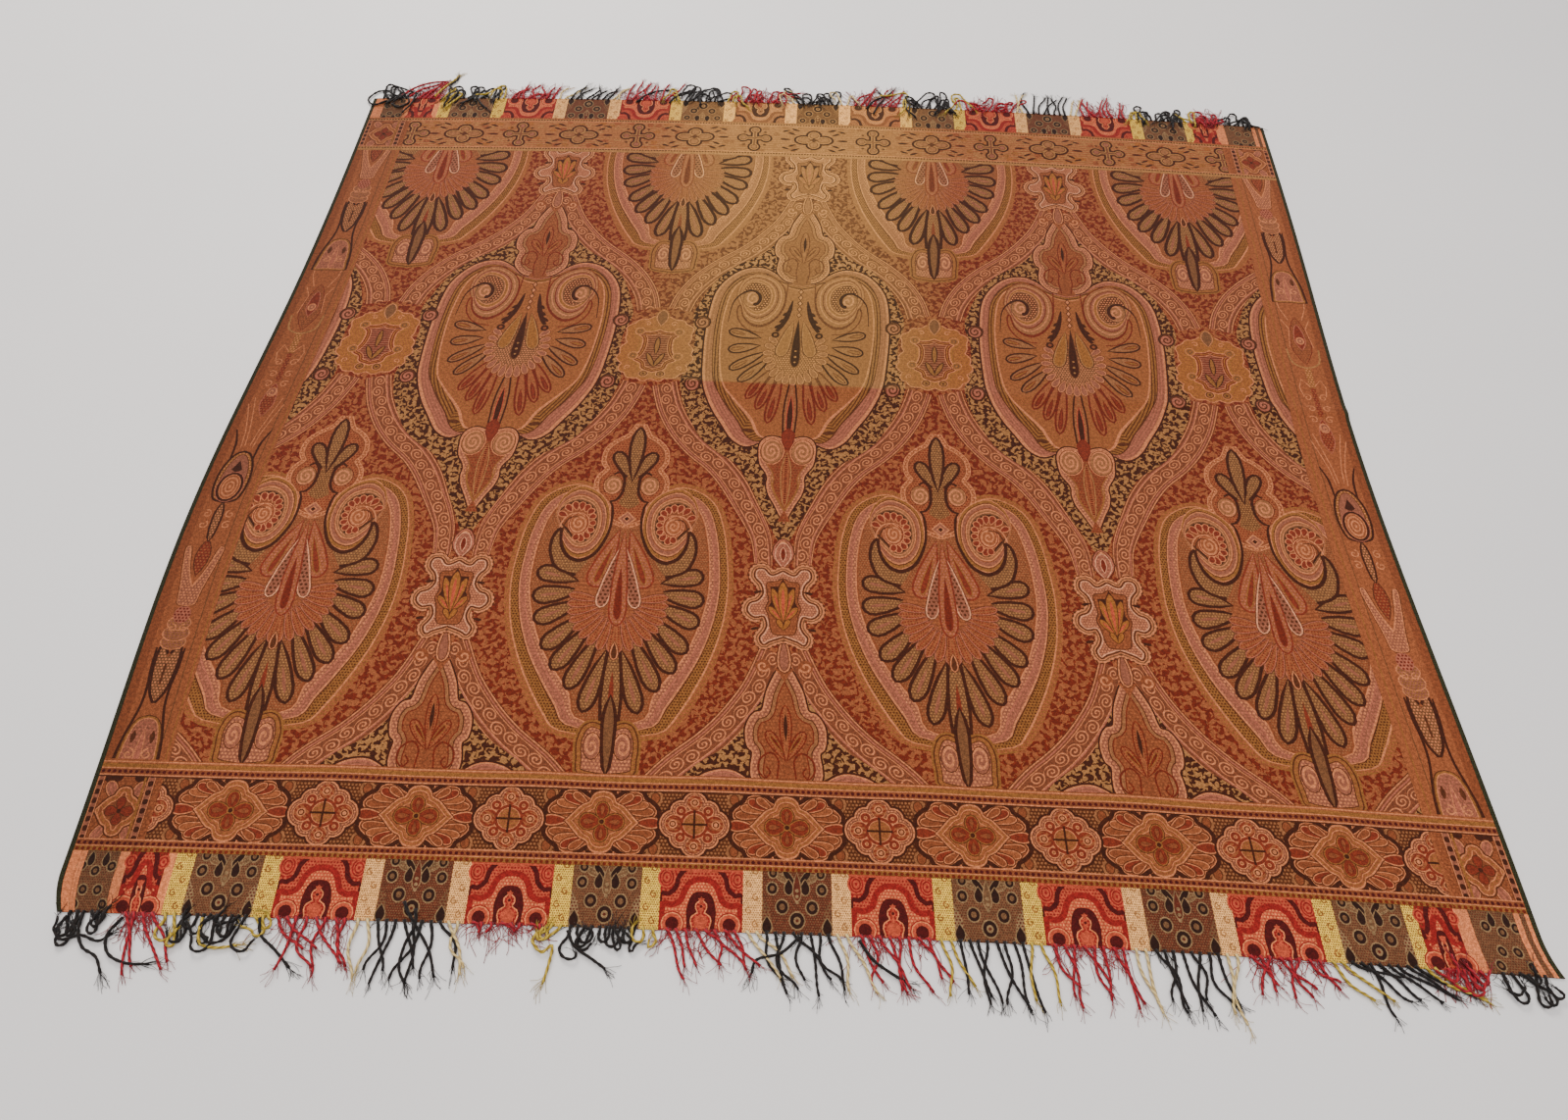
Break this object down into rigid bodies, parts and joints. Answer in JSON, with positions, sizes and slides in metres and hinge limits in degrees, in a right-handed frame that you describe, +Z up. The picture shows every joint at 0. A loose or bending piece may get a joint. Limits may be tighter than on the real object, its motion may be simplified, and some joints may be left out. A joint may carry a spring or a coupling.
{
  "type": "piano shawl",
  "caption": "Large fringed paisley shawl laid flat: figured wool field, side and end borders, harlequin gate ends and knotted yarn fringe.",
  "frame": {"origin": "on the floor under the middle of the woven cloth, on the field's flat underside", "axes": "+Z up out of the cloth; +Y along the warp, from the near fringe to the far fringe; +X across, to the right selvedge"},
  "size_m": [1.8186, 1.7993, 0.006],
  "materials": {
    "figured_cloth": "fine twill figured in orange, coral, pink, olive and dark brown wool",
    "border_cloth": "figured twill bands with dotted guard stripes",
    "gate_cloth": "figured twill over blocks of dark, red, yellow and cream warp",
    "selvedge_cloth": "firm dark green edge",
    "dark_yarn": "twisted black wool yarn",
    "red_yarn": "twisted crimson wool yarn, frayed at the ends",
    "yellow_yarn": "twisted yellow wool yarn",
    "cream_yarn": "twisted cream wool yarn"
  },
  "bodies": {
    "root": {"field": "figured_cloth", "side_border_left": "border_cloth", "side_border_right": "border_cloth", "end_border_near": "border_cloth", "end_border_far": "border_cloth", "gate_near": "gate_cloth", "gate_far": "gate_cloth", "selvedge_left": "selvedge_cloth", "selvedge_right": "selvedge_cloth", "fringe_near_01": "dark_yarn", "fringe_near_02": "red_yarn", "fringe_near_03": "dark_yarn", "fringe_near_04": "red_yarn", "fringe_near_05": "dark_yarn", "fringe_near_06": "red_yarn", "fringe_near_07": "dark_yarn", "fringe_near_08": "red_yarn", "fringe_near_09": "dark_yarn", "fringe_near_10": "red_yarn", "fringe_near_11": "dark_yarn", "fringe_near_12": "red_yarn", "fringe_near_13": "dark_yarn", "fringe_near_14": "red_yarn", "fringe_near_15": "dark_yarn", "fringe_near_16": "red_yarn", "fringe_near_17": "dark_yarn", "fringe_far_01": "dark_yarn", "fringe_far_02": "red_yarn", "fringe_far_03": "dark_yarn", "fringe_far_04": "red_yarn", "fringe_far_05": "dark_yarn", "fringe_far_06": "red_yarn", "fringe_far_07": "dark_yarn", "fringe_far_08": "red_yarn", "fringe_far_09": "dark_yarn", "fringe_far_10": "red_yarn", "fringe_far_11": "dark_yarn", "fringe_far_12": "red_yarn", "fringe_far_13": "dark_yarn", "fringe_far_14": "red_yarn", "fringe_far_15": "dark_yarn", "fringe_far_16": "red_yarn", "fringe_far_17": "dark_yarn"}
  },
  "joints": []
}
